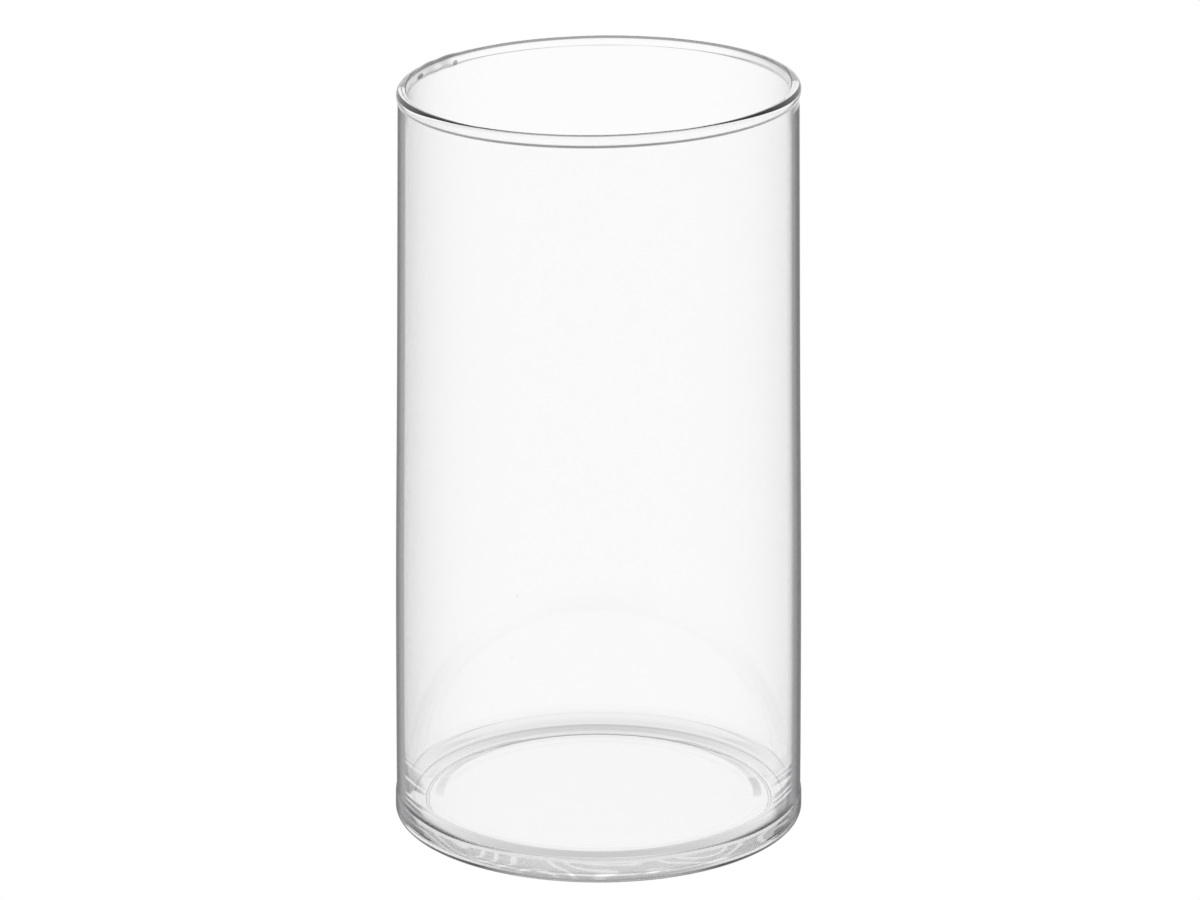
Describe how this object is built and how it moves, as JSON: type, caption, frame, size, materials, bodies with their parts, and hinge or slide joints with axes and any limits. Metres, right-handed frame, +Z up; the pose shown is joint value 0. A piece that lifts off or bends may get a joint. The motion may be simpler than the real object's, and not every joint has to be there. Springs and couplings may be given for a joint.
{
  "type": "glass cylinder vase",
  "caption": "Clear straight-sided glass cylinder vase with a fire-polished rim bead, a rounded heel and a flat floor that is slightly raised underneath.",
  "frame": {"origin": "centre of the standing ring's plane, on the vase's axis", "axes": "+Z up along the vase's axis of revolution, from the floor towards the open mouth; X and Y are equivalent across it"},
  "size_m": [0.1008, 0.1008, 0.18],
  "materials": {
    "clear_glass": "clear colourless soda-lime glass, fire-polished, with faint pull lines in the wall and chill marks round the heel"
  },
  "bodies": {
    "root": {"rim_bead": "clear_glass", "cylinder_wall": "clear_glass", "heel_ring": "clear_glass", "floor_disc": "clear_glass"}
  },
  "joints": []
}
